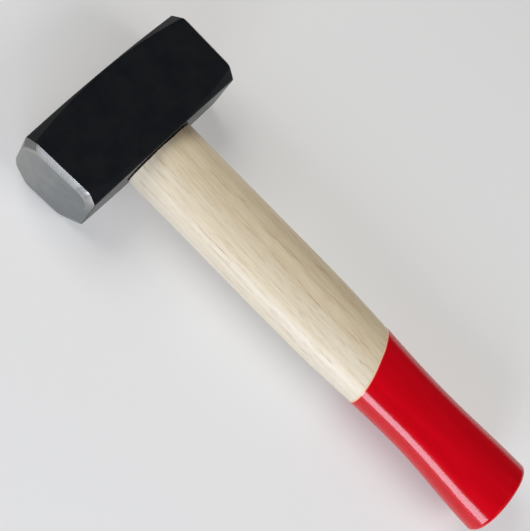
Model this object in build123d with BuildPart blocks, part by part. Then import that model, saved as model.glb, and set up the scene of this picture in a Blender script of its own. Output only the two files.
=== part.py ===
from build123d import *
import os
from math import cos, pi, sqrt

# Club hammer: a 1 kg forged head, wedged on a 260 mm ash handle with a dipped grip.
# Millimetres. The hammer lies on its lower cheek. The origin is the centre of that cheek, straight
# below the eye. +X runs along the handle to the butt, +Y along the head and +Z up to the other cheek.

os.makedirs("parts", exist_ok=True)

# Head: outer sizes, enamel included.
HEAD_LENGTH = 95.5  # between the striking faces
HEAD_WIDTH = 39.4  # along the handle
HEAD_THICKNESS = 37.6  # between the cheeks
ENAMEL = 0.2  # thickness of the black coat
CORNER_CUT_MIDDLE = 0.8  # leg of the corner facet at the middle of the head
CORNER_CUT_END = 5.3  # leg of the corner facet at the face
SIDE_BEVEL = (3.0, 2.2)  # ground bevel along each side of the face: inset, depth
CORNER_BEVEL = (3.8, 1.8)  # ground bevel across each corner of the face: inset, depth

# Eye: an oval hole along the handle, narrowest at its middle: (long axis, short axis).
EYE_MOUTH = (32.0, 22.0)
EYE_WAIST = (30.0, 20.0)

# Handle: (place along X, half of the long axis, shift of the centre line towards +Y).
SHOULDER = (HEAD_WIDTH / 2, 19.2, 0.1)
SWELL = (115.0, 19.5, 0.3)
WAIST = (185.0, 17.2, 0.5)
BUTT = (239.7, 19.4, -0.2)
OVAL = 0.70  # short axis over long axis
STEPS_PER_STRETCH = 3  # sections from one of these sizes to the next
SHOULDER_CHAMFER = 0.8
BUTT_DOME_RADIUS = 120.0
BUTT_ROUNDING = 2.0
TENON_PROUD = 0.3  # how far the tenon stands out of the eye

# Grip: a dipped coat, whose edge is slanted because the handle hung at a tilt in the bath.
GRIP_COAT = 0.3
GRIP_EDGE_X = 152.3
GRIP_EDGE_SLANT = 16.9  # degrees about Z

# Wedges: (thickness at the driven end, thickness at the tip, depth).
WOOD_WEDGE = (5.0, 1.2, 30.0)
STEEL_WEDGE = (3.0, 0.8, 22.0)
STEEL_WEDGE_WIDTH = 15.0
STEEL_WEDGE_PLACES = (-7.5, 7.5)  # along the eye's long axis

AXIS_Z = HEAD_THICKNESS / 2
TENON_TOP = -HEAD_WIDTH / 2 - TENON_PROUD


def across(x, shift=0.0):
    """The plane across the handle at x; its own x is the row's +Y and its own y the row's +Z."""
    return Plane(origin=(x, shift, AXIS_Z), x_dir=(0, 1, 0), z_dir=(1, 0, 0))


def bevel_planes():
    """The planes that the eight bevels round each striking face are ground to."""
    corner_reach = ((HEAD_WIDTH + HEAD_THICKNESS) / 2 - CORNER_CUT_END) / sqrt(2)
    bevels = []
    for sign in (1, -1):
        bevels.append((Vector(sign, 0, 0), HEAD_WIDTH / 2, SIDE_BEVEL))
        bevels.append((Vector(0, 0, sign), HEAD_THICKNESS / 2, SIDE_BEVEL))
        bevels.append((Vector(sign, 0, 1).normalized(), corner_reach, CORNER_BEVEL))
        bevels.append((Vector(sign, 0, -1).normalized(), corner_reach, CORNER_BEVEL))
    planes = []
    for end in (Vector(0, 1, 0), Vector(0, -1, 0)):
        for out, reach, (inset, depth) in bevels:
            foot = Vector(0, 0, AXIS_Z) + end * (HEAD_LENGTH / 2) + out * (reach - inset)
            planes.append(Plane(origin=foot, x_dir=out.cross(end), z_dir=out * depth + end * inset))
    return planes


def head_block(skin):
    """The ground head without its eye, skin thicker than the bare steel except at its faces."""
    grow = skin - ENAMEL
    half_length = HEAD_LENGTH / 2
    corner = (HEAD_WIDTH + HEAD_THICKNESS) / 2 / sqrt(2) + grow
    middle = corner - CORNER_CUT_MIDDLE / sqrt(2)
    end = corner - CORNER_CUT_END / sqrt(2)
    with BuildPart() as block:
        with BuildSketch(Plane.XY.offset(-grow)):
            Rectangle(HEAD_WIDTH + 2 * grow, HEAD_LENGTH)
        extrude(amount=HEAD_THICKNESS + 2 * grow)
        for lean in (1, -1):
            # The corner facets are barrelled along the head, so they flare towards its faces.
            facets = Plane(origin=(0, 0, AXIS_Z), x_dir=(0, 1, 0), z_dir=(1, 0, lean))
            with BuildSketch(facets):
                with BuildLine():
                    ThreePointArc((-half_length, end), (0, middle), (half_length, end))
                    Line((half_length, end), (half_length, -end))
                    ThreePointArc((half_length, -end), (0, -middle), (-half_length, -end))
                    Line((-half_length, -end), (-half_length, end))
                make_face()
            extrude(amount=HEAD_WIDTH, both=True, mode=Mode.INTERSECT)
        for plane in bevel_planes():
            with BuildSketch(plane):
                Rectangle(HEAD_LENGTH, HEAD_LENGTH)
            extrude(amount=HEAD_WIDTH / 4, mode=Mode.SUBTRACT)
    return block.part


def eye():
    """The oval space through the head, from its top side to its underside."""
    with BuildPart() as hole:
        for side in (-1, 1):
            with BuildSketch(across(0)):
                Ellipse(EYE_WAIST[0] / 2, EYE_WAIST[1] / 2)
            with BuildSketch(across(side * HEAD_WIDTH / 2)):
                Ellipse(EYE_MOUTH[0] / 2, EYE_MOUTH[1] / 2)
            loft(ruled=True)
    return hole.part


def stations():
    """(place along X, half of the long axis, shift), eased from each named size to the next."""
    named = (SHOULDER, SWELL, WAIST, BUTT)
    places = []
    for (x, half, shift), (next_x, next_half, next_shift) in zip(named, named[1:]):
        for step in range(STEPS_PER_STRETCH):
            share = step / STEPS_PER_STRETCH
            ease = (1 - cos(pi * share)) / 2
            place = x + (next_x - x) * share
            places.append((place, half + (next_half - half) * ease, shift + (next_shift - shift) * ease))
    return places + [BUTT]


def shaft(skin):
    """The oval handle below the head with its domed butt, skin thicker all round."""
    dome_radius = BUTT_DOME_RADIUS + skin
    with BuildPart() as oval:
        for x, half, shift in stations():
            with BuildSketch(across(x, shift)):
                Ellipse(half + skin, half * OVAL + skin)
        loft()
        if skin:
            with BuildSketch(across(BUTT[0], BUTT[2])):
                Ellipse(BUTT[1] + skin, BUTT[1] * OVAL + skin)
            extrude(amount=skin)
        with Locations((BUTT[0] - BUTT_DOME_RADIUS, 0, AXIS_Z)):
            Sphere(dome_radius, mode=Mode.INTERSECT)
        fillet(oval.edges().sort_by(Axis.X)[-1], BUTT_ROUNDING + skin)
    return oval.part


def wedge(plane, sizes, width):
    """A wedge driven in along its plane's x; its thickness lies along the plane's y."""
    driven, tip, depth = sizes
    with BuildPart() as blade:
        with BuildSketch(plane):
            Polygon((0, -driven / 2), (depth, -tip / 2), (depth, tip / 2), (0, driven / 2), align=None)
        extrude(amount=width / 2, both=True)
    return blade.part


def finish(piece, name):
    """Labels a finished piece and writes it."""
    piece.label = name
    export_step(piece, f"parts/{name}.step")


# The space that the tenon and its wedges fill, up to the proud end.
with BuildPart() as tenon:
    add(eye())
    with BuildSketch(across(-HEAD_WIDTH / 2)):
        Ellipse(EYE_MOUTH[0] / 2, EYE_MOUTH[1] / 2)
    extrude(amount=-TENON_PROUD)

along_eye = Plane(origin=(TENON_TOP, 0, AXIS_Z), x_dir=(1, 0, 0), z_dir=(0, 1, 0))
wood_blade = wedge(along_eye, WOOD_WEDGE, EYE_MOUTH[0])
steel_blades = []
for place in STEEL_WEDGE_PLACES:
    across_eye = Plane(origin=(TENON_TOP, place, AXIS_Z), x_dir=(1, 0, 0), z_dir=(0, 0, 1))
    steel_blades.append(wedge(across_eye, STEEL_WEDGE, STEEL_WEDGE_WIDTH))

with BuildPart() as hammer_head:
    add(head_block(0))
    add(eye(), mode=Mode.SUBTRACT)

with BuildPart() as head_enamel:
    add(head_block(ENAMEL))
    add(head_block(0), mode=Mode.SUBTRACT)
    add(eye(), mode=Mode.SUBTRACT)

with BuildPart() as handle:
    add(shaft(0))
    chamfer(handle.edges().sort_by(Axis.X)[0], SHOULDER_CHAMFER)
    add(tenon.part)
    add(wood_blade, mode=Mode.SUBTRACT)
    add(steel_blades, mode=Mode.SUBTRACT)

with BuildPart() as wood_wedge:
    add(wood_blade)
    add(tenon.part, mode=Mode.INTERSECT)
    add(steel_blades, mode=Mode.SUBTRACT)

grip_edge = Plane(
    origin=(GRIP_EDGE_X, 0, AXIS_Z), x_dir=(0, 0, 1), z_dir=Vector(1, 0, 0).rotate(Axis.Z, GRIP_EDGE_SLANT)
)
with BuildPart() as grip_coat:
    add(shaft(GRIP_COAT))
    add(shaft(0), mode=Mode.SUBTRACT)
    split(bisect_by=grip_edge, keep=Keep.TOP)

finish(hammer_head.part, "hammer_head")
finish(head_enamel.part, "head_enamel")
finish(handle.part, "handle")
finish(wood_wedge.part, "wood_wedge")
finish(grip_coat.part, "grip_coat")
for number, steel_blade in enumerate(steel_blades, 1):
    with BuildPart() as steel_wedge:
        add(steel_blade)
    finish(steel_wedge.part, f"steel_wedge_{number}")
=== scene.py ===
"""The looks of a club hammer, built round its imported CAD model. Metres, in the row's frame."""

from math import cos, pi, radians, sin, sqrt, tan

import bmesh
import bpy
from mathutils import Matrix, Vector, noise


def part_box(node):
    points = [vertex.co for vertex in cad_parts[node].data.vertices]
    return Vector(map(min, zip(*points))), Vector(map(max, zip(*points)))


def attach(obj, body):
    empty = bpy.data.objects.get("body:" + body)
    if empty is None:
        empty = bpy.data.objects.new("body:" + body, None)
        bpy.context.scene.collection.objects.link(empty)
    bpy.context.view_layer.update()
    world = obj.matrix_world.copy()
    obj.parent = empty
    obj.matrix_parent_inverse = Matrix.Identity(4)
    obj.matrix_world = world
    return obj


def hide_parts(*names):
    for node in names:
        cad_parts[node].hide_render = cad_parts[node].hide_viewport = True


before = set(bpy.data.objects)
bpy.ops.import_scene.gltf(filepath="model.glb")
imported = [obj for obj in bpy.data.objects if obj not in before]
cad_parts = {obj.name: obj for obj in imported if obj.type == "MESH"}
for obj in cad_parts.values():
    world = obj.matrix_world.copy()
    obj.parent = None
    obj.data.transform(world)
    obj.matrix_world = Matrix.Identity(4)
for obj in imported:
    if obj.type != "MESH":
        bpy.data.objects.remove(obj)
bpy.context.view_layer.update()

MM = 0.001

# Places read from the CAD model.
HEAD_LOW, HEAD_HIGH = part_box("head_enamel")
FACE_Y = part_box("hammer_head")[1].y
BUTT_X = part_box("grip_coat")[1].x
TENON_TOP_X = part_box("handle")[0].x
HALF_WIDTH = (HEAD_HIGH.x - HEAD_LOW.x) / 2
HALF_THICKNESS = (HEAD_HIGH.z - HEAD_LOW.z) / 2
AXIS = Vector((0, 0, HALF_THICKNESS))

# Head: the sizes of its facets, bevels and eye. Its eight sides go round from +X by +Z.
ENAMEL = 0.2 * MM
FACET_LEG_MIDDLE = 0.8 * MM
NEAR_FACET_LEGS = (4.8 * MM, 5.6 * MM, 7.2 * MM, 7.6 * MM)  # of the four corners, from +X+Z
FAR_FACET_LEGS = (5.3 * MM,) * 4
NEAR_BEVEL_DEPTHS = (1.8 * MM, 2.05 * MM, 3.2 * MM, 2.2 * MM)  # of +X, +Z, -X and -Z
FAR_BEVEL_DEPTHS = (2.2 * MM, 2.0 * MM, 2.2 * MM, 2.2 * MM)
NEAR_BEVEL_INSETS = (3.0 * MM, 3.8 * MM, 3.4 * MM, 4.6 * MM, 2.8 * MM, 4.2 * MM, 2.7 * MM, 4.2 * MM)
FAR_BEVEL_INSETS = (3.0 * MM, 3.8 * MM) * 4
NEAR_SKEW = 0.035  # the near end was ground a little out of square
SKEW_START = 30 * MM  # from the middle of the head, and how far on it is full
SKEW_STRETCH = 14 * MM
BEVEL_BULGE = 0.22
FACE_CORNER_RADIUS = 5.0 * MM
EDGE_RADIUS = (1.0 * MM, 2.4 * MM)  # between a cheek and its facets, at the middle and the ends
EYE_MOUTH = (16.0 * MM, 11.0 * MM)  # half axes
EYE_WAIST = (15.0 * MM, 10.0 * MM)
EYE_GAP = 0.12 * MM  # the dark line between eye and tenon
ENAMEL_DEPTH = 1.5 * MM  # how far in the enamel's hidden inside lies
ENAMEL_LIPS = ((0.17 * MM, 0.05 * MM), (0.05 * MM, 0.15 * MM))  # its rolled edge: (inset, retreat)
ENAMEL_RAGGEDNESS = 0.22 * MM

# The rings that the head is made of.
ARC_STEPS = 6  # round each corner of a ring
SIDE_STEPS = 13  # along each side of a ring
HALF_BODY_SHARES = (
    0.0, 0.08, 0.16, 0.24, 0.32, 0.4, 0.48, 0.56, 0.64, 0.71, 0.78, 0.84, 0.89, 0.93, 0.96, 0.98, 0.99,
)
ENAMEL_INSIDE_SHARES = (-1.0, -0.8, -0.6, -0.3, 0.0, 0.3, 0.6, 0.8, 1.0)
BEVEL_SHARES = (0.0, 0.04, 0.12, 0.24, 0.38, 0.52, 0.66, 0.8, 0.9, 0.96)  # from the enamel to the face
FACE_RIM_STEPS = ((0.0, 0.05), (0.35, 0.012), (1.0, 0.0), (2.5, 0.0))  # (inset, depth), millimetres
FACE_KEEPS = (0.75, 0.55, 0.35, 0.15)  # the face's inner rings, shrunk towards its middle
FACE_RINGS = len(FACE_RIM_STEPS) + len(FACE_KEEPS)

# How the ground bevels look.
GRINDING_AND_HIGHLIGHT_RISE, GRINDING_AND_HIGHLIGHT_START = 1.7, 0.35  # the grinding lines and a painted highlight set in towards the upper cheek
GRINDING_AND_HIGHLIGHT_AT_ENAMEL = 1.5  # how much stronger the lines and the painted highlight are on the last rings before the enamel
ENAMEL_SIDE_RINGS = 2
PAINTED_SHADE_ZONES = ((0.115, 0.175, 0.45), (0.27, 0.5, 1.0))  # painted shade on the near end: (from, to, how dark), by way round
BRIGHT_RIM_RINGS = 3  # of the near bevel, next to the face, that get no painted shade

# Handle: (place along X, half of the long axis, shift of the centre line).
SHOULDER = (HALF_WIDTH, 19.2 * MM, 0.1 * MM)
SWELL = (115.0 * MM, 19.5 * MM, 0.3 * MM)
WAIST = (185.0 * MM, 17.2 * MM, 0.5 * MM)
BUTT = (BUTT_X, 19.4 * MM, -0.2 * MM)
OVAL = 0.70
OVAL_POWER = 2.12  # a little squarer than an ellipse
SHOULDER_GAP = 0.1 * MM
SHOULDER_ROUNDING = 0.5 * MM
SHOULDER_STEPS = 6
SHAFT_STEP = 3 * MM
BUTT_ROUNDING = 2.1 * MM
BUTT_RIM_TURN = pi / 2 - 0.12  # the rim's arc, up to the slope of the dome
BUTT_RIM_STEPS = 8
BUTT_DOME = 1.5 * MM
DOME_KEEPS = (0.93, 0.84, 0.7, 0.52, 0.32, 0.12)
TENON_SOFTNESS = 0.25 * MM
RING_POINTS = 112

# Grip coat.
GRIP_COAT = 0.3 * MM
GRIP_EDGE_X = 152.3 * MM
GRIP_EDGE_SLANT = tan(radians(16.9))
GRIP_EDGE_WAVER = 0.25 * MM
GRIP_LIP = (  # (millimetres from the edge, share of the coat's thickness)
    (0.0, 0.0), (0.05, 0.3), (0.15, 0.52), (0.35, 0.72), (0.7, 0.85), (1.4, 0.93), (3.0, 1.0),
)
GRIP_LIP_LENGTH = GRIP_LIP[-1][0] * MM
GRIP_LIFT = 0.01 * MM  # keeps the thin lip clear of the wood
GRIP_ROWS = 32
GRIP_BURIED = 0.4 * MM  # how far in the coat's hidden inside lies
GRIP_INSIDE_SHARES = (0.0, 0.25, 0.5, 0.75, 1.0)

# Wedges: half thickness at the driven end and at the tip, depth.
WOOD_WEDGE = (2.5 * MM, 0.6 * MM, 30.0 * MM)
WOOD_WEDGE_HALF_WIDTH = EYE_MOUTH[0] - 0.5 * MM
WOOD_WEDGE_TAPER = 1.5 * MM  # how much narrower each side is at the tip
STEEL_WEDGE = (1.5 * MM, 0.4 * MM, 22.0 * MM)
STEEL_WEDGE_HALF_WIDTH = 7.5 * MM
STEEL_WEDGE_TIP_SHARE = 0.94  # of its width, at the tip
STEEL_WEDGE_PLACES = (-7.5 * MM, 7.5 * MM)
BATTERED_ROWS = 4  # rings of the driven end, before the WEDGE_STEPS down to the tip
WEDGE_STEPS = 8
WEDGE_CORNER_STEPS = 4
WEDGE_GAP = 0.1 * MM
SLOT_DEPTH = 6 * MM

# Camera: where it looks on the handle's axis, and from where.
AIM = Vector((88.25 * MM, -1.6 * MM, AXIS.z))
VIEW_AZIMUTH = radians(-9.73)
VIEW_ELEVATION = radians(62.51)
VIEW_ROLL = radians(54.25)
VIEW_DISTANCE = 478.5 * MM
LENS = 73.3

# Studio.
FLOOR_HALF_SIZE = 20.0
FLOOR_LEVEL = -0.06 * MM  # just below the lower cheek's roughness
FLOOR_TONE = 0.55
FLOOR_GLOW = 0.25
HORIZON_TONE = 0.08
SKY_TONE = 0.03
KEY_TINT = (0.92, 0.98, 1.14)
STRIP_TINT = (0.97, 0.99, 1.04)
FILL_TINT = (1.0, 0.98, 0.94)

# Colours, as linear RGB.
ASH_BODY = (0.70, 0.585, 0.385, 1)
ASH_WARM = (0.60, 0.48, 0.29, 1)
# painted light: the paler tone of the -Y side, where the key light falls
ASH_PAINTED_LIGHT_SIDE = (0.75, 0.68, 0.54, 1)
ASH_EARLY_WOOD = (0.56, 0.42, 0.25, 1)
ASH_FIBRE = (0.82, 0.74, 0.60, 1)
ASH_PORE = (0.38, 0.23, 0.11, 1)
# the olive, darker tint near the head, towards +Y
OLIVE_NEAR_HEAD = (0.36, 0.28, 0.13, 1)
BLACK_SMEAR = (0.02, 0.018, 0.015, 1)
END_VARNISH = (0.42, 0.27, 0.13, 1)
END_PORE = (0.13, 0.07, 0.03, 1)
WEDGE_WOOD_DARK = (0.28, 0.15, 0.07, 1)
WEDGE_WOOD_PALE = (0.55, 0.36, 0.19, 1)
WEDGE_STEEL_DARK = (0.10, 0.09, 0.085, 1)
WEDGE_STEEL_PALE = (0.36, 0.35, 0.34, 1)
STEEL_GREY = (0.195, 0.22, 0.235, 1)
STEEL_POLISHED = (0.325, 0.33, 0.325, 1)
STEEL_FRESH_CUT = (0.60, 0.58, 0.54, 1)
# painted shade: the darker steel put on parts of the near bevel
STEEL_PAINTED_SHADE = (0.17, 0.175, 0.18, 1)
ENAMEL_BLACK = (0.0085, 0.0095, 0.012, 1)
ENAMEL_SOOT = (0.0115, 0.0125, 0.0135, 1)
ENAMEL_WORN = (0.05, 0.05, 0.052, 1)
RED_DEEP = (0.53, 0.0006, 0.0065, 1)
RED_FULL = (0.60, 0.0009, 0.0085, 1)
RED_THIN = (0.95, 0.6, 0.4, 1)

WOOD_GRAIN_DRIFT = radians(1.8)  # the grain's slant across the handle
RING_CENTRE = (0, 62, 88)  # of the tree, from the handle's axis, in millimetres
RING_PITCH = 2.7
RING_WAVER = 2.4


# ---------------------------------------------------------------- camera, floor and light


def make_camera():
    """Looks down on the hammer from its near face's side, rolled so that the handle runs down-right."""
    data = bpy.data.cameras.new("camera")
    data.lens = LENS
    data.clip_start = 0.01
    camera = bpy.data.objects.new("camera", data)
    bpy.context.scene.collection.objects.link(camera)
    flat = cos(VIEW_ELEVATION)
    back = Vector((sin(VIEW_AZIMUTH) * flat, -cos(VIEW_AZIMUTH) * flat, sin(VIEW_ELEVATION)))
    upright = (-back).to_track_quat("-Z", "Y").to_matrix().to_4x4()
    camera.matrix_world = (
        Matrix.Translation(AIM + back * VIEW_DISTANCE) @ upright @ Matrix.Rotation(VIEW_ROLL, 4, "Z")
    )
    bpy.context.scene.camera = camera


def make_light(name, place, width, height, radiance, tint, mirrored=True):
    """A soft box that faces the aim from its place relative to it; mirrored ones show in reflections."""
    data = bpy.data.lights.new(name, "AREA")
    data.shape = "RECTANGLE"
    data.size = width
    data.size_y = height
    data.energy = radiance * pi * width * height
    data.color = tint
    light = bpy.data.objects.new(name, data)
    light.visible_camera = False
    light.visible_glossy = mirrored
    bpy.context.scene.collection.objects.link(light)
    place = Vector(place)
    light.matrix_world = Matrix.Translation(AIM + place) @ place.to_track_quat("Z", "Y").to_matrix().to_4x4()


def make_floor():
    """A plain pale floor that glows softly, like a light table."""
    half = FLOOR_HALF_SIZE
    corners = [(-half, -half), (half, -half), (half, half), (-half, half)]
    mesh = bpy.data.meshes.new("floor")
    mesh.from_pydata([(x, y, FLOOR_LEVEL) for x, y in corners], [], [(0, 1, 2, 3)])
    floor = bpy.data.objects.new("floor", mesh)
    bpy.context.scene.collection.objects.link(floor)
    paint, tree, shader = new_material("floor_paint")
    set_sockets(tree, shader, {
        "Base Color": grey(FLOOR_TONE), "Roughness": 0.9, "Specular IOR Level": 0.1,
        "Emission Color": grey(1), "Emission Strength": FLOOR_GLOW,
    })
    mesh.materials.append(paint)


def make_world():
    """A dim studio, a little brighter at the horizon than overhead."""
    world = bpy.data.worlds.new("studio")
    bpy.context.scene.world = world
    world.use_nodes = True
    tree = world.node_tree
    tree.nodes.clear()
    direction = add_node(tree, "ShaderNodeTexCoord").outputs["Generated"]
    horizon, sky = grey(HORIZON_TONE), grey(SKY_TONE)
    stops = [(0.0, horizon), (0.02, horizon), (0.2, sky), (1.0, sky)]
    brightness = ramp(tree, axis_of(tree, direction, "Z"), stops)
    background = add_node(tree, "ShaderNodeBackground", {"Color": brightness, "Strength": 1.0})
    add_node(tree, "ShaderNodeOutputWorld", {"Surface": background.outputs[0]})


def make_studio():
    """A large key and a low strip from the near face's side, and a fill from each end of the handle."""
    make_world()
    make_floor()
    make_light("key", (0.33, -0.94, 0.335), width=0.66, height=0.45, radiance=8.2, tint=KEY_TINT)
    make_light("low_strip", (0.25, -1.0, 0.04), width=1.4, height=0.14, radiance=0.8, tint=STRIP_TINT)
    for name, place in (("head_fill", (-0.72, 0.0, 0.72)), ("butt_fill", (0.9, 0.1, 0.62))):
        make_light(name, place, width=0.7, height=0.66, radiance=4.2, tint=FILL_TINT, mirrored=False)
    bpy.context.scene.view_settings.view_transform = "Standard"


# ---------------------------------------------------------------- shader nodes


def grey(value):
    """An opaque grey of that brightness."""
    return (value, value, value, 1)


def set_sockets(tree, node, sockets):
    """Sets a node's inputs, each to a value or to another node's output, which is linked."""
    for name, value in sockets.items():
        if isinstance(value, bpy.types.NodeSocket):
            tree.links.new(value, node.inputs[name])
        else:
            node.inputs[name].default_value = value


def add_node(tree, kind, inputs=None, **settings):
    """A shader node with those inputs and settings."""
    made = tree.nodes.new(kind)
    for name, value in settings.items():
        setattr(made, name, value)
    set_sockets(tree, made, inputs or {})
    return made


def ramp(tree, factor, stops, interpolation="EASE"):
    """A colour ramp's colour output, with (position, colour) stops."""
    made = add_node(tree, "ShaderNodeValToRGB", {"Fac": factor})
    band = made.color_ramp
    band.interpolation = interpolation
    while len(band.elements) < len(stops):
        band.elements.new(1.0)
    for element, (position, colour) in zip(band.elements, stops):
        element.position = position
        element.color = colour
    return made.outputs["Color"]


def mask(tree, value, start, stop):
    """Black up to start and white from stop on, with a soft step between them."""
    return ramp(tree, value, [(start, grey(0)), (stop, grey(1))])


def object_place(tree):
    """The point's place in metres, as every piece's object sits at the origin."""
    return add_node(tree, "ShaderNodeTexCoord").outputs["Object"]


def scaled(tree, vector, per_metre, offset=(0, 0, 0)):
    """The vector, scaled on each axis and then moved by the offset."""
    inputs = {"Vector": vector, "Location": offset, "Scale": per_metre}
    return add_node(tree, "ShaderNodeMapping", inputs).outputs[0]


def axis_of(tree, vector, axis):
    """The vector's X, Y or Z."""
    return add_node(tree, "ShaderNodeSeparateXYZ", {"Vector": vector}).outputs[axis]


def stored(tree, name, output="Fac"):
    """What the mesh's points hold under that name."""
    return add_node(tree, "ShaderNodeAttribute", attribute_name=name).outputs[output]


def noise_of(tree, vector, detail=2.0, roughness=0.5, distortion=0.0):
    """A noise texture's 0 to 1 output, at the scale that its vector already has."""
    inputs = {"Vector": vector, "Scale": 1.0, "Detail": detail}
    inputs |= {"Roughness": roughness, "Distortion": distortion}
    return add_node(tree, "ShaderNodeTexNoise", inputs).outputs["Fac"]


def noise_at(tree, per_metre, detail=2.0, roughness=0.5, distortion=0.0):
    """Noise in the object's own space, with that many cells to the metre on each axis."""
    return noise_of(tree, scaled(tree, object_place(tree), per_metre), detail, roughness, distortion)


def maths(tree, operation, a, b=0.0):
    """One sum."""
    return add_node(tree, "ShaderNodeMath", {0: a, 1: b}, operation=operation).outputs[0]


def added(tree, a, b):
    return maths(tree, "ADD", a, b)


def multiplied(tree, a, b):
    return maths(tree, "MULTIPLY", a, b)


def blend(tree, factor, a, b):
    """Colour a towards colour b by factor."""
    return add_node(tree, "ShaderNodeMix", {0: factor, 6: a, 7: b}, data_type="RGBA").outputs[2]


def spread(tree, value, low, high, start=0.0, stop=1.0):
    """The value taken from start to stop into low to high."""
    inputs = {"Value": value, "From Min": start, "From Max": stop, "To Min": low, "To Max": high}
    return add_node(tree, "ShaderNodeMapRange", inputs).outputs[0]


def bump(tree, height, distance, strength, under=None):
    """A bumped normal, on top of the normal under it if there is one."""
    inputs = {"Height": height, "Distance": distance, "Strength": strength}
    if under:
        inputs["Normal"] = under
    return add_node(tree, "ShaderNodeBump", inputs).outputs["Normal"]


def new_material(name):
    """A material, its node tree and its main shader."""
    made = bpy.data.materials.new(name)
    made.use_nodes = True
    return made, made.node_tree, made.node_tree.nodes["Principled BSDF"]


# ---------------------------------------------------------------- materials


def early_wood(tree, grain):
    """How much of the porous early wood shows: growth rings round a centre outside the handle."""
    waver = noise_of(tree, scaled(tree, grain, (9, 45, 45)))
    across = scaled(tree, grain, (30, 1000, 1000), RING_CENTRE)
    radius = add_node(tree, "ShaderNodeVectorMath", {0: across}, operation="LENGTH").outputs["Value"]
    wavy_radius = added(tree, radius, spread(tree, waver, -RING_WAVER, RING_WAVER))
    ring = maths(tree, "FRACT", maths(tree, "DIVIDE", wavy_radius, RING_PITCH))
    stops = [(0.0, grey(0.2)), (0.06, grey(1)), (0.3, grey(0.7)), (0.55, grey(0.05)), (1.0, grey(0.0))]
    return ramp(tree, ring, stops)


def pore_streaks(tree, grain, early):
    """Short dark pores along the grain, in loose groups and mostly in the early wood."""
    pores = noise_of(tree, scaled(tree, grain, (90, 2500, 2500)), 2.0, 0.55, 0.2)
    pore_marks = ramp(tree, pores, [(0.545, grey(0)), (0.65, grey(1))], "LINEAR")
    sparse = noise_of(tree, scaled(tree, grain, (22, 260, 260), (5, 2, 7)))
    where = ramp(tree, sparse, [(0.40, grey(0.15)), (0.58, grey(1))])
    return multiplied(tree, multiplied(tree, pore_marks, where), spread(tree, early, 0.35, 1.0))


def ash_wood():
    """Pale ash: growth rings cut lengthwise, porous early wood, fine fibres and a satin lacquer, with
    painted light making the -Y side paler.
    """
    material, tree, shader = new_material("ash_wood")
    place = object_place(tree)
    drift = {"Vector": place, "Rotation": (0.0, 0.0, WOOD_GRAIN_DRIFT)}
    grain = add_node(tree, "ShaderNodeVectorRotate", drift, rotation_type="EULER_XYZ").outputs[0]
    early = early_wood(tree, grain)
    streaks = pore_streaks(tree, grain, early)
    fibres = noise_of(tree, scaled(tree, grain, (70, 1300, 1300)), 4.0, 0.68, 0.25)
    fibre_marks = ramp(tree, fibres, [(0.32, grey(0)), (0.68, grey(0.62))], "LINEAR")
    broad = noise_of(tree, scaled(tree, grain, (9, 150, 150), (1, 3, 0)))
    body = blend(tree, mask(tree, broad, 0.3, 0.7), ASH_BODY, ASH_WARM)
    # painted light: the wood turns paler towards -Y, the side the key light comes from
    side = multiplied(tree, axis_of(tree, place, "Y"), -28.0)
    painted_light_side = added(tree, side, spread(tree, broad, -0.6, 0.6))
    body = blend(tree, mask(tree, painted_light_side, 0.0, 0.7), body, ASH_PAINTED_LIGHT_SIDE)
    ringed = blend(tree, spread(tree, early, 0.0, 0.26), body, ASH_EARLY_WOOD)
    fibrous = blend(tree, fibre_marks, ringed, ASH_FIBRE)
    streaked = blend(tree, spread(tree, streaks, 0.0, 0.7), fibrous, ASH_PORE)
    height = maths(tree, "SUBTRACT", fibres, multiplied(tree, streaks, 1.2))
    set_sockets(tree, shader, {
        "Base Color": darkened_at_head(tree, place, streaked), "Roughness": spread(tree, fibres, 0.33, 0.5),
        "Normal": bump(tree, height, 0.00007, 0.5),
        "Specular IOR Level": 0.45, "Coat Weight": 0.05, "Coat Roughness": 0.35,
    })
    return material


def darkened_at_head(tree, place, colour):
    """The colour turned olive and darker near the head, more so towards +Y, and black enamel smeared along
    the joint.
    """
    below = axis_of(tree, place, "X")
    smudge = noise_of(tree, scaled(tree, place, (260, 330, 330)), 3.0, 0.6)
    # olive and darker near the head, stronger towards +Y
    near_head = spread(tree, below, 0.0, 1.0, HALF_WIDTH + 9 * MM, HALF_WIDTH)
    far_side = spread(tree, axis_of(tree, place, "Y"), 0.0, 1.0, -4 * MM, 13 * MM)
    olive_share = multiplied(tree, near_head, far_side)
    olive_tinted = blend(tree, multiplied(tree, olive_share, smudge), colour, OLIVE_NEAR_HEAD)
    joint = spread(tree, below, 0.0, 1.0, HALF_WIDTH + 1.1 * MM, HALF_WIDTH + 0.2 * MM)
    smear = mask(tree, multiplied(tree, joint, added(tree, smudge, 0.3)), 0.35, 0.5)
    shoulder = blend(tree, smear, olive_tinted, BLACK_SMEAR)
    on_shaft = maths(tree, "GREATER_THAN", below, HALF_WIDTH - 2 * MM)
    return blend(tree, on_shaft, end_grain(tree, place, colour), shoulder)


def end_grain(tree, place, colour):
    """The tenon's sawn and varnished end: the same wood, darker, with its pores seen end on."""
    pores = noise_of(tree, scaled(tree, place, (300, 2600, 2600)), 2.0, 0.6)
    varnished = blend(tree, 0.55, colour, END_VARNISH)
    return blend(tree, multiplied(tree, mask(tree, pores, 0.52, 0.64), 0.6), varnished, END_PORE)


def wedge_wood():
    """The darker, rougher wood of the wedge, cut along its grain."""
    material, tree, shader = new_material("wedge_wood")
    grain = noise_at(tree, (60, 500, 2600), 3.0, 0.6)
    set_sockets(tree, shader, {
        "Base Color": ramp(tree, grain, [(0.3, WEDGE_WOOD_DARK), (0.7, WEDGE_WOOD_PALE)]),
        "Roughness": spread(tree, grain, 0.55, 0.75), "Normal": bump(tree, grain, 0.0001, 0.6),
    })
    return material


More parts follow.
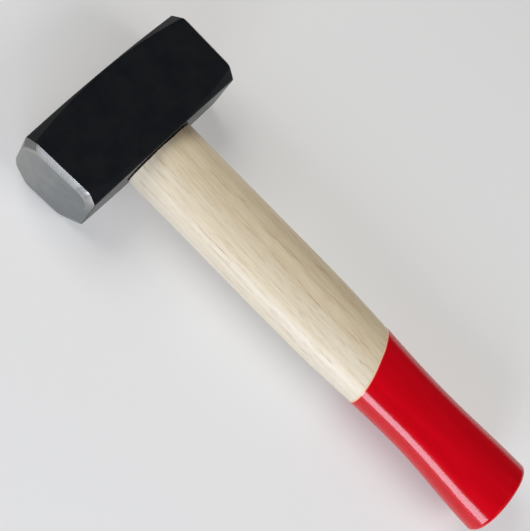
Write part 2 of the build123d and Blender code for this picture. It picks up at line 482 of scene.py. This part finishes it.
def wedge_steel():
    """Dull rolled steel, mottled dark and pale."""
    material, tree, shader = new_material("wedge_steel")
    mottle = noise_at(tree, (900, 900, 900), 4.0, 0.65)
    set_sockets(tree, shader, {
        "Base Color": ramp(tree, mottle, [(0.35, WEDGE_STEEL_DARK), (0.65, WEDGE_STEEL_PALE)]),
        "Metallic": 1.0, "Roughness": spread(tree, mottle, 0.35, 0.6),
        "Normal": bump(tree, mottle, 0.00008, 0.5),
    })
    return material


def ground_steel():
    """Bare steel: smooth clouded faces, and bevels with grinding lines across them. Painted light lightens
    it towards -X, a painted highlight lightens the bevels towards the upper cheek and the enamel, and
    painted shade darkens zones of the near bevel.
    """
    material, tree, shader = new_material("ground_steel")
    bevel = stored(tree, "bevel")
    clouds = noise_at(tree, (85, 85, 85), 3.0, 0.55, 0.6)
    lines = noise_of(tree, scaled(tree, stored(tree, "around", "Vector"), (1500, 1500, 0)), 3.0, 0.7)
    brushed = noise_at(tree, (380, 9000, 9000), 2.0, 0.6)
    grinding = blend(tree, bevel, brushed, lines)
    fine = noise_at(tree, (4200, 4200, 4200), 2.0, 0.6)
    # painted light: the steel's tone is lighter towards -X, the head's top end
    painted_light_towards_top = spread(tree, axis_of(tree, object_place(tree), "X"), 0.0, 0.45, HALF_WIDTH, -HALF_WIDTH)
    polish_and_painted_light = added(tree, spread(tree, clouds, 0.0, 0.55), painted_light_towards_top)
    tone = ramp(tree, polish_and_painted_light, [(0.25, STEEL_GREY), (0.8, STEEL_POLISHED)])
    # painted highlight: the bevels' colour lightens towards the upper cheek and the enamel, together with
    # the real grinding lines
    brightness = added(tree, multiplied(tree, bevel, 0.9), 0.12)
    ground = blend(tree, multiplied(tree, grinding, brightness), tone, STEEL_FRESH_CUT)
    # painted shade: darkens zones of the near bevel
    painted_shade = multiplied(tree, stored(tree, "painted_shade"), spread(tree, fine, 0.6, 1.1))
    cloudy = added(tree, spread(tree, clouds, 0.24, 0.34), spread(tree, fine, -0.04, 0.05))
    ridges = multiplied(tree, grinding, spread(tree, bevel, 0.15, 1.0))
    set_sockets(tree, shader, {
        "Base Color": blend(tree, painted_shade, ground, STEEL_PAINTED_SHADE), "Metallic": 1.0,
        "Roughness": added(tree, cloudy, spread(tree, bevel, 0.0, 0.07)),
        "Normal": bump(tree, ridges, 0.00003, 0.35, bump(tree, fine, 0.00001, 0.3)),
    })
    return material


def black_enamel():
    """Satin black enamel with a trace of orange peel, rubbed a little grey along its edges."""
    material, tree, shader = new_material("black_enamel")
    peel = noise_at(tree, (1500, 1500, 1500))
    forging = noise_at(tree, (120, 120, 120), 3.0, 0.6)
    specks = noise_at(tree, (2600, 2600, 2600), 1.0)
    colour = ramp(tree, forging, [(0.3, ENAMEL_BLACK), (0.7, ENAMEL_SOOT)])
    edge = add_node(tree, "ShaderNodeNewGeometry").outputs["Pointiness"]
    rubbed = multiplied(tree, mask(tree, edge, 0.52, 0.56), specks)
    set_sockets(tree, shader, {
        "Base Color": blend(tree, multiplied(tree, rubbed, 0.12), colour, ENAMEL_WORN),
        "Roughness": spread(tree, forging, 0.22, 0.3), "Specular IOR Level": 0.08,
        "Normal": bump(tree, peel, 0.00003, 0.3, bump(tree, forging, 0.00025, 0.25)),
    })
    return material


def red_dip():
    """Glossy red dip, thin and orange where it ends on the wood."""
    material, tree, shader = new_material("red_dip")
    ripple = noise_at(tree, (25, 240, 240))
    peel = noise_at(tree, (420, 900, 900))
    deep = ramp(tree, ripple, [(0.3, RED_DEEP), (0.7, RED_FULL)])
    full = ramp(tree, stored(tree, "coat_share"), [(0.0, grey(0)), (0.74, grey(0)), (0.9, grey(1))])
    set_sockets(tree, shader, {
        "Base Color": blend(tree, full, RED_THIN, deep), "Roughness": spread(tree, ripple, 0.12, 0.18),
        "Normal": bump(tree, ripple, 0.0002, 0.3, bump(tree, peel, 0.00002, 0.25)),
        "Specular IOR Level": 0.42, "Coat Weight": 0.15, "Coat Roughness": 0.08,
    })
    return material


# ---------------------------------------------------------------- meshes from rings


def new_piece(name, points, faces, material):
    """An object of those points and faces, at the origin."""
    mesh = bpy.data.meshes.new(name)
    mesh.from_pydata([tuple(p) for p in points], [], faces)
    mesh.update()
    piece = bpy.data.objects.new(name, mesh)
    bpy.context.scene.collection.objects.link(piece)
    mesh.materials.append(material)
    return piece


def ring_faces(first_ring, ring_count, size, wrap=False):
    """Quads between neighbouring rings of size points, numbered from first_ring on."""
    faces = []
    pairs = [(r, r + 1) for r in range(first_ring, first_ring + ring_count - 1)]
    if wrap:
        pairs.append((first_ring + ring_count - 1, first_ring))
    for ring, following in pairs:
        for i in range(size):
            j = (i + 1) % size
            faces.append((ring * size + i, ring * size + j, following * size + j, following * size + i))
    return faces


def cap(ring, size):
    """One flat face over a ring."""
    return tuple(ring * size + i for i in range(size))


def tube(name, rings, material):
    """A closed piece from rings of points, with a flat cap on its first and last ring."""
    size = len(rings[0])
    points = [p for ring in rings for p in ring]
    faces = ring_faces(0, len(rings), size)
    faces += [tuple(reversed(cap(0, size))), cap(len(rings) - 1, size)]
    return new_piece(name, points, faces, material)


def face_outwards(piece):
    """Turns every face outwards."""
    work = bmesh.new()
    work.from_mesh(piece.data)
    bmesh.ops.recalc_face_normals(work, faces=work.faces)
    work.to_mesh(piece.data)
    work.free()


def shade(piece, sharp_degrees=32):
    """Smooth shading with sharp creases, and flat faces that stay flat."""
    piece.data.shade_smooth()
    piece.data.set_sharp_from_angle(angle=radians(sharp_degrees))
    weighted = piece.modifiers.new("flat_faces", "WEIGHTED_NORMAL")
    weighted.keep_sharp = True
    weighted.weight = 80


def cut(piece, cutters):
    """Cuts closed cutters out of a piece, for good, and removes them."""
    for cutter in cutters:
        modifier = piece.modifiers.new("cut", "BOOLEAN")
        modifier.operation = "DIFFERENCE"
        modifier.solver = "EXACT"
        modifier.object = cutter
    bpy.context.view_layer.update()
    result = bpy.data.meshes.new_from_object(piece.evaluated_get(bpy.context.evaluated_depsgraph_get()))
    piece.modifiers.clear()
    piece.data = result
    for cutter in cutters:
        bpy.data.objects.remove(cutter)


def oval_ring(x, half_long, half_short, shift=0.0, power=2.0):
    """Points round an oval across the handle at x."""
    ring = []
    for i in range(RING_POINTS):
        angle = 2 * pi * i / RING_POINTS
        reach_y = abs(cos(angle)) ** (2 / power) * (1 if cos(angle) >= 0 else -1)
        reach_z = abs(sin(angle)) ** (2 / power) * (1 if sin(angle) >= 0 else -1)
        ring.append(Vector((x, shift + half_long * reach_y, AXIS.z + half_short * reach_z)))
    return ring


def roughen(rings, height, size):
    """Moves a surface in and out a little, as forging or driving leaves it."""
    for ring in rings:
        for point in ring:
            out = Vector((point.x, 0, point.z - AXIS.z)).normalized()
            point += out * noise.noise(point / size) * height


def finish_piece(piece, node):
    """The piece moves with the hammer and stands in for its CAD node, which it hides."""
    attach(piece, "root")
    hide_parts(node)


# ---------------------------------------------------------------- head


def line_crossing(first_angle, first_reach, second_angle, second_reach):
    """Where two lines cross, each at its reach from the middle and square to its angle."""
    scale = sin(second_angle - first_angle)
    x = (first_reach * sin(second_angle) - second_reach * sin(first_angle)) / scale
    z = (second_reach * cos(first_angle) - first_reach * cos(second_angle)) / scale
    return x, z


def octagon_ring(reaches, radius, main_ys):
    """Points round the head: eight sides at their reaches from the axis, with rounded corners.

    main_ys are the places along the head of the +X, +Z, -X and -Z sides; a corner facet runs from
    one to the next.
    """
    arcs = []
    for corner in range(8):
        here, there = corner * pi / 4, (corner + 1) * pi / 4
        x, z = line_crossing(here, reaches[corner] - radius, there, reaches[(corner + 1) % 8] - radius)
        y = main_ys[(corner + 1) // 2 % 4]
        arc = []
        for step in range(ARC_STEPS + 1):
            angle = here + (there - here) * step / ARC_STEPS
            arc.append(Vector((x + radius * cos(angle), y, AXIS.z + z + radius * sin(angle))))
        arcs.append(arc)
    ring = []
    for arc, following in zip(arcs, arcs[1:] + arcs[:1]):
        ring += arc
        ring += [arc[-1].lerp(following[0], step / SIDE_STEPS) for step in range(1, SIDE_STEPS)]
    return ring


def flare_at(y):
    """How far the head has flared at y: 0 at its middle, 1 at its faces."""
    return min(1.0, abs(y) / FACE_Y) ** 2


def head_reaches(y, inset=0.0):
    """How far the eight sides of the head stand from its axis at y."""
    legs = NEAR_FACET_LEGS if y < 0 else FAR_FACET_LEGS
    reaches = []
    for side in range(8):
        if side % 2:
            leg = FACET_LEG_MIDDLE + (legs[side // 2] - FACET_LEG_MIDDLE) * flare_at(y)
            reach = (HALF_WIDTH + HALF_THICKNESS - leg) / sqrt(2)
        else:
            reach = HALF_THICKNESS if side % 4 else HALF_WIDTH
        reaches.append(reach - inset)
    return reaches


def edge_radius(y):
    """The radius between a cheek and its facets at y."""
    middle, end = EDGE_RADIUS
    return middle + (end - middle) * flare_at(y)


def skewed(ring):
    """The ring with the near end's slight skew."""
    for point in ring:
        share = min(1.0, max(0.0, (-point.y - SKEW_START) / SKEW_STRETCH))
        point.y += NEAR_SKEW * point.x * share * share
    return ring


def body_ring(share, inset, retreat=0.0):
    """A ring of the painted body, from the near bevel at share -1 to the far bevel at share 1."""
    depths = NEAR_BEVEL_DEPTHS if share < 0 else FAR_BEVEL_DEPTHS
    main_ys = [share * (FACE_Y - depth - retreat) for depth in depths]
    y = share * FACE_Y
    return skewed(octagon_ring(head_reaches(y, inset), edge_radius(y), main_ys))


def body_shares():
    """Places along the body: close together near its ends."""
    return [-share for share in reversed(HALF_BODY_SHARES[1:])] + list(HALF_BODY_SHARES)


def end_rings(end):
    """Rings over the ground bevel and the striking face, from the body outwards."""
    insets = NEAR_BEVEL_INSETS if end < 0 else FAR_BEVEL_INSETS
    depths = NEAR_BEVEL_DEPTHS if end < 0 else FAR_BEVEL_DEPTHS
    body = head_reaches(end * FACE_Y, ENAMEL)
    start_radius = edge_radius(FACE_Y)
    rings = []
    for share in BEVEL_SHARES:
        bulge = BEVEL_BULGE * share * (1 - share)
        reaches = [reach - (inset - ENAMEL) * (share - bulge) for reach, inset in zip(body, insets)]
        main_ys = [end * (FACE_Y - depth * (1 - share - bulge)) for depth in depths]
        radius = start_radius + (FACE_CORNER_RADIUS - start_radius) * share
        rings.append(octagon_ring(reaches, radius, main_ys))
    face = [reach - inset + ENAMEL for reach, inset in zip(body, insets)]
    for inset, depth in FACE_RIM_STEPS:
        reaches = [reach - inset * MM for reach in face]
        main_ys = [end * (FACE_Y - depth * MM)] * 4
        rings.append(octagon_ring(reaches, FACE_CORNER_RADIUS - inset * MM, main_ys))
    for keep in FACE_KEEPS:
        reaches = [reach * keep for reach in face]
        rings.append(octagon_ring(reaches, FACE_CORNER_RADIUS * keep, [end * FACE_Y] * 4))
    return [skewed(ring) for ring in rings]


def eye_cutter(name, gap):
    """The oval hole through the head, gap wider than the eye."""
    rings = []
    reach = HALF_WIDTH + 2 * MM
    for place in (-reach, 0.0, reach):
        share = min(1.0, abs(place) / HALF_WIDTH)
        long = EYE_WAIST[0] + (EYE_MOUTH[0] - EYE_WAIST[0]) * share + gap
        short = EYE_WAIST[1] + (EYE_MOUTH[1] - EYE_WAIST[1]) * share + gap
        rings.append(oval_ring(place, long, short))
    cutter = tube(name, rings, None)
    face_outwards(cutter)
    return cutter


def painted_shade_at(way_round):
    """How much painted shade darkens the near bevel there, way_round being the share of the ring from +X by
    +Z.
    """
    return sum(painted_shade for start, stop, painted_shade in PAINTED_SHADE_ZONES if start <= way_round < stop)


def mark_ground_zones(forging, rings, end_count):
    """Stores where the bevels are with their grinding lines and painted highlight, how much painted shade
    darkens each place, and how far round the head each point is.
    """
    bevel, painted_shade, around = [], [], []
    size = len(rings[0])
    for row, ring in enumerate(rings):
        steps = [(ring[i] - ring[i - 1]).length for i in range(size)]
        per_metre = 2 * pi / sum(steps)
        travelled = 0.0
        from_end = min(row, len(rings) - 1 - row)
        on_bevel = FACE_RINGS <= from_end < end_count
        at_enamel = GRINDING_AND_HIGHLIGHT_AT_ENAMEL if from_end >= end_count - ENAMEL_SIDE_RINGS else 1.0
        may_be_shaded = FACE_RINGS + BRIGHT_RIM_RINGS <= row < end_count
        for i, step in enumerate(steps):
            travelled += step
            # grinding lines with a painted highlight, stronger towards the upper cheek and the enamel
            height = GRINDING_AND_HIGHLIGHT_RISE * (ring[i].z - AXIS.z) / HALF_THICKNESS - GRINDING_AND_HIGHLIGHT_START
            towards_cheek = min(1.0, max(0.0, height))
            bevel.append(towards_cheek * at_enamel if on_bevel else 0.0)
            painted_shade.append(painted_shade_at(i / size) if may_be_shaded else 0.0)
            angle = travelled * per_metre
            around += [HALF_THICKNESS * cos(angle), HALF_THICKNESS * sin(angle), 0.0]
    forging.data.attributes.new("bevel", "FLOAT", "POINT").data.foreach_set("value", bevel)
    forging.data.attributes.new("painted_shade", "FLOAT", "POINT").data.foreach_set("value", painted_shade)
    forging.data.attributes.new("around", "FLOAT_VECTOR", "POINT").data.foreach_set("vector", around)


def make_forging():
    """The forged steel, bare at its two ground ends."""
    near, far = end_rings(-1), end_rings(1)
    core = [body_ring(share, ENAMEL) for share in body_shares()]
    rings = list(reversed(near)) + core + far
    forging = tube("forged_head", rings, ground_steel())
    mark_ground_zones(forging, rings, len(near))
    face_outwards(forging)
    cut(forging, [eye_cutter("eye_in_forging", 0.5 * MM)])
    shade(forging)
    finish_piece(forging, "hammer_head")


def make_enamel():
    """The enamel over the forging's body, a little ragged where the ends were ground."""
    outer = [body_ring(share, 0.0) for share in body_shares()]
    roughen(outer, 0.06 * MM, 14 * MM)
    near_lips = [body_ring(-1, inset, retreat) for inset, retreat in ENAMEL_LIPS]
    far_lips = [body_ring(1, inset, retreat) for inset, retreat in ENAMEL_LIPS]
    for lip in near_lips + far_lips:
        for point in lip:
            inwards = -1 if point.y > 0 else 1
            point.y += inwards * abs(noise.noise(point / (2.5 * MM))) * ENAMEL_RAGGEDNESS
    inner = [body_ring(share, ENAMEL_DEPTH, ENAMEL_DEPTH) for share in ENAMEL_INSIDE_SHARES]
    rings = near_lips + outer + list(reversed(far_lips)) + list(reversed(inner))
    points = [p for ring in rings for p in ring]
    faces = ring_faces(0, len(rings), len(rings[0]), wrap=True)
    enamel = new_piece("enamel_coat", points, faces, black_enamel())
    face_outwards(enamel)
    cut(enamel, [eye_cutter("eye_in_enamel", EYE_GAP)])
    shade(enamel, 50)
    finish_piece(enamel, "head_enamel")


# ---------------------------------------------------------------- handle and grip


def eased(x):
    """(half of the long axis, shift) of the shaft at x, eased from one named size to the next."""
    named = (SHOULDER, SWELL, WAIST, BUTT)
    for (start, half, shift), (stop, next_half, next_shift) in zip(named, named[1:]):
        if x <= stop or stop == BUTT_X:
            share = min(1.0, max(0.0, (x - start) / (stop - start)))
            ease = (1 - cos(pi * share)) / 2
            return half + (next_half - half) * ease, shift + (next_shift - shift) * ease


def shaft_ring(x, skin=0.0, inset=0.0):
    """Points round the shaft at x, skin outside its wood and inset further in."""
    half, shift = eased(x)
    return oval_ring(x, half + skin - inset, half * OVAL + skin - inset, shift, OVAL_POWER)


def slanted_ring(places, skin):
    """Points round the shaft, each at its own place along X."""
    return [shaft_ring(x, skin)[i] for i, x in enumerate(places)]


def butt_rings(skin):
    """Rings over the rounded rim and the domed end of the butt, ending near the middle."""
    end = BUTT_X - GRIP_COAT + skin
    radius = BUTT_ROUNDING + skin
    rings = []
    for step in range(1, BUTT_RIM_STEPS + 1):
        angle = step / BUTT_RIM_STEPS * BUTT_RIM_TURN
        ring = shaft_ring(end - BUTT_DOME - radius, skin, radius * (1 - cos(angle)))
        rings.append([Vector((p.x + radius * sin(angle), p.y, p.z)) for p in ring])
    rim = rings[-1]
    rim_x = rim[0].x
    middle = Vector((rim_x, BUTT[2], AXIS.z))
    for keep in DOME_KEEPS:
        rise = (end - rim_x) * (1 - keep * keep)
        rings.append([middle.lerp(p, keep) + Vector((rise, 0, 0)) for p in rim])
    return rings


def straight_rings(start, stop):
    """Rings along the shaft, about SHAFT_STEP apart."""
    count = max(2, round((stop - start) / SHAFT_STEP))
    return [shaft_ring(start + (stop - start) * i / count) for i in range(count + 1)]


def tenon_rings():
    """Rings from the tenon's proud end down through the eye to the shoulder."""
    soft = TENON_SOFTNESS
    mouth_long, mouth_short = EYE_MOUTH
    return [
        oval_ring(TENON_TOP_X, mouth_long - 2 * soft, mouth_short - 2 * soft),
        oval_ring(TENON_TOP_X + soft * 0.3, mouth_long - soft, mouth_short - soft),
        oval_ring(TENON_TOP_X + soft * 1.2, mouth_long - EYE_GAP, mouth_short - EYE_GAP),
        oval_ring(0.0, *EYE_WAIST),
        oval_ring(HALF_WIDTH, mouth_long - EYE_GAP, mouth_short - EYE_GAP),
    ]


def shoulder_rings():
    """Rings over the rounded shoulder that sits against the head's underside."""
    rings = []
    start = HALF_WIDTH + SHOULDER_GAP
    for step in range(SHOULDER_STEPS + 1):
        angle = step / SHOULDER_STEPS * pi / 2
        x = start + SHOULDER_ROUNDING * (1 - cos(angle))
        rings.append(shaft_ring(x, 0.0, SHOULDER_ROUNDING * (1 - sin(angle))))
    return rings


def slot_cutter(name, place, half_y, half_z):
    """A box round a wedge's driven end, to cut its slot."""
    xs = (TENON_TOP_X - MM, TENON_TOP_X + SLOT_DEPTH)
    ys = (place - half_y - WEDGE_GAP, place + half_y + WEDGE_GAP)
    zs = (AXIS.z - half_z - WEDGE_GAP, AXIS.z + half_z + WEDGE_GAP)
    corners = [(x, y, z) for x in xs for y in ys for z in zs]
    faces = [(0, 1, 3, 2), (4, 6, 7, 5), (0, 4, 5, 1), (2, 3, 7, 6), (0, 2, 6, 4), (1, 5, 7, 3)]
    cutter = new_piece(name, corners, faces, None)
    face_outwards(cutter)
    return cutter


def make_handle():
    """The ash handle: tenon, shoulder, oval shaft and butt."""
    start = HALF_WIDTH + SHOULDER_GAP + SHOULDER_ROUNDING
    stop = BUTT_X - GRIP_COAT - BUTT_DOME - BUTT_ROUNDING
    rings = tenon_rings() + shoulder_rings() + straight_rings(start + MM, stop) + butt_rings(0.0)
    handle = tube("ash_handle", rings, ash_wood())
    face_outwards(handle)
    cutters = [slot_cutter("kerf", 0.0, EYE_MOUTH[0], WOOD_WEDGE[0])]
    for place in STEEL_WEDGE_PLACES:
        cutters.append(slot_cutter("slot", place, STEEL_WEDGE[0], STEEL_WEDGE_HALF_WIDTH))
    cut(handle, cutters)
    shade(handle, 40)
    finish_piece(handle, "handle")


def grip_edge_x(index):
    """Where the coat starts on the shaft's ring point of that index."""
    x = GRIP_EDGE_X
    for _ in range(4):
        point = shaft_ring(x)[index]
        waver = noise.noise(Vector((point.y, point.z, 0.0)) / (7 * MM)) * GRIP_EDGE_WAVER
        x = GRIP_EDGE_X - GRIP_EDGE_SLANT * point.y + waver
    return x


def make_grip():
    """The red dip over the butt half: thin at its slanted edge, full a few millimetres on."""
    stop = BUTT_X - GRIP_COAT - BUTT_DOME - BUTT_ROUNDING
    edge = [grip_edge_x(i) for i in range(RING_POINTS)]
    rings, shares = [], []
    for distance, share in GRIP_LIP:
        rings.append(slanted_ring([x + distance * MM for x in edge], GRIP_COAT * share + GRIP_LIFT))
        shares.append(share)
    full = [x + GRIP_LIP_LENGTH for x in edge]
    for row in range(1, GRIP_ROWS + 1):
        places = [x + (stop - x) * (row / GRIP_ROWS) for x in full]
        rings.append(slanted_ring(places, GRIP_COAT + GRIP_LIFT))
    rings += butt_rings(GRIP_COAT)
    shares += [1.0] * (len(rings) - len(shares))
    hidden = []
    for share in GRIP_INSIDE_SHARES:
        places = [x + GRIP_BURIED + (stop - x - GRIP_BURIED) * share for x in edge]
        hidden.append(slanted_ring(places, -GRIP_BURIED))
    hidden += butt_rings(-GRIP_BURIED)
    points = [p for ring in rings + hidden for p in ring]
    size = RING_POINTS
    faces = ring_faces(0, len(rings), size)
    faces.append(cap(len(rings) - 1, size))
    faces += ring_faces(len(rings), len(hidden), size)
    faces.append(cap(len(rings) + len(hidden) - 1, size))
    for i in range(size):
        j = (i + 1) % size
        faces.append((i, len(rings) * size + i, len(rings) * size + j, j))
    grip = new_piece("red_grip", points, faces, red_dip())
    values = [share for share in shares for _ in range(size)] + [1.0] * (len(hidden) * size)
    grip.data.attributes.new("coat_share", "FLOAT", "POINT").data.foreach_set("value", values)
    face_outwards(grip)
    shade(grip, 50)
    finish_piece(grip, "grip_coat")


# ---------------------------------------------------------------- wedges


def box_ring(x, centre, half_y, half_z, rounding):
    """Points round a rectangle across the handle, with rounded corners."""
    corner = min(rounding, half_y * 0.6, half_z * 0.6)
    ring = []
    for turn in range(4):
        sign_y = 1 if turn in (0, 3) else -1
        sign_z = 1 if turn in (0, 1) else -1
        for step in range(WEDGE_CORNER_STEPS + 1):
            angle = turn * pi / 2 + step / WEDGE_CORNER_STEPS * pi / 2
            y = centre + sign_y * (half_y - corner) + corner * cos(angle)
            z = AXIS.z + sign_z * (half_z - corner) + corner * sin(angle)
            ring.append(Vector((x, y, z)))
    return ring


def wedge_rings(centre, half_y, half_z, tip_y, tip_z, depth, proud, rounding):
    """Rings of a driven wedge from its battered end to its tip."""
    rings = []
    battered = ((-proud, 0.78), (-proud * 0.9, 0.92), (-proud * 0.4, 1.0), (rounding, 1.0))
    for x, keep in battered:
        rings.append(box_ring(TENON_TOP_X + x, centre, half_y * keep, half_z * (0.9 + 0.1 * keep), rounding))
    for step in range(1, WEDGE_STEPS + 1):
        share = step / WEDGE_STEPS
        x = TENON_TOP_X + rounding + (depth - rounding) * share
        here_y = half_y + (tip_y - half_y) * share
        here_z = half_z + (tip_z - half_z) * share
        rings.append(box_ring(x, centre, here_y, here_z, rounding))
    return rings


def make_wood_wedge():
    """The wood wedge along the eye."""
    half, tip, depth = WOOD_WEDGE
    width = WOOD_WEDGE_HALF_WIDTH
    rings = wedge_rings(0.0, width, half, width - WOOD_WEDGE_TAPER, tip, depth, 0.35 * MM, 0.3 * MM)
    roughen(rings[:BATTERED_ROWS], 0.12 * MM, 3 * MM)
    wood = tube("wood_wedge_piece", rings, wedge_wood())
    face_outwards(wood)
    shade(wood)
    finish_piece(wood, "wood_wedge")


def make_steel_wedges():
    """The two steel wedges across the wood one."""
    half, tip, depth = STEEL_WEDGE
    width = STEEL_WEDGE_HALF_WIDTH
    steel = wedge_steel()
    for number, place in enumerate(STEEL_WEDGE_PLACES, 1):
        tip_width = width * STEEL_WEDGE_TIP_SHARE
        rings = wedge_rings(place, half, width, tip, tip_width, depth, 0.55 * MM, 0.25 * MM)
        roughen(rings[:BATTERED_ROWS], 0.1 * MM, 2 * MM)
        blade = tube(f"steel_wedge_piece_{number}", rings, steel)
        face_outwards(blade)
        shade(blade)
        finish_piece(blade, f"steel_wedge_{number}")


make_camera()
make_studio()
make_forging()
make_enamel()
make_handle()
make_grip()
make_wood_wedge()
make_steel_wedges()
